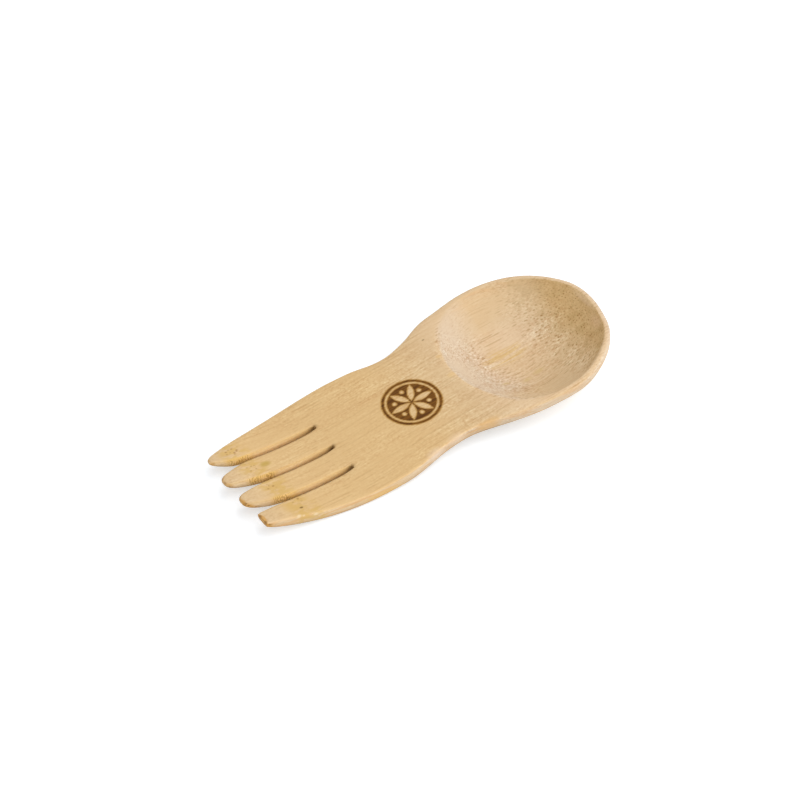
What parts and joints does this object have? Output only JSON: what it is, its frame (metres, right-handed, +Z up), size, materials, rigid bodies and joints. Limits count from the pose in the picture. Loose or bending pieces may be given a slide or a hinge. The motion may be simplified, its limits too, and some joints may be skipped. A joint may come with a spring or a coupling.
{
  "type": "spork",
  "caption": "Short broad bamboo spork: a round shallow spoon bowl at one end, a slotted fork with blunt tines at the other, carved in one piece.",
  "frame": {"origin": "centre of the bounding box, on the flat surface that the spork rests on", "axes": "+X from the tine tips to the end of the bowl, +Z up out of the bowl"},
  "size_m": [0.12, 0.0496, 0.0123],
  "materials": {
    "bamboo": "sanded bare bamboo, matt to satin"
  },
  "bodies": {
    "root": {"bamboo_spork": "bamboo"}
  },
  "joints": []
}
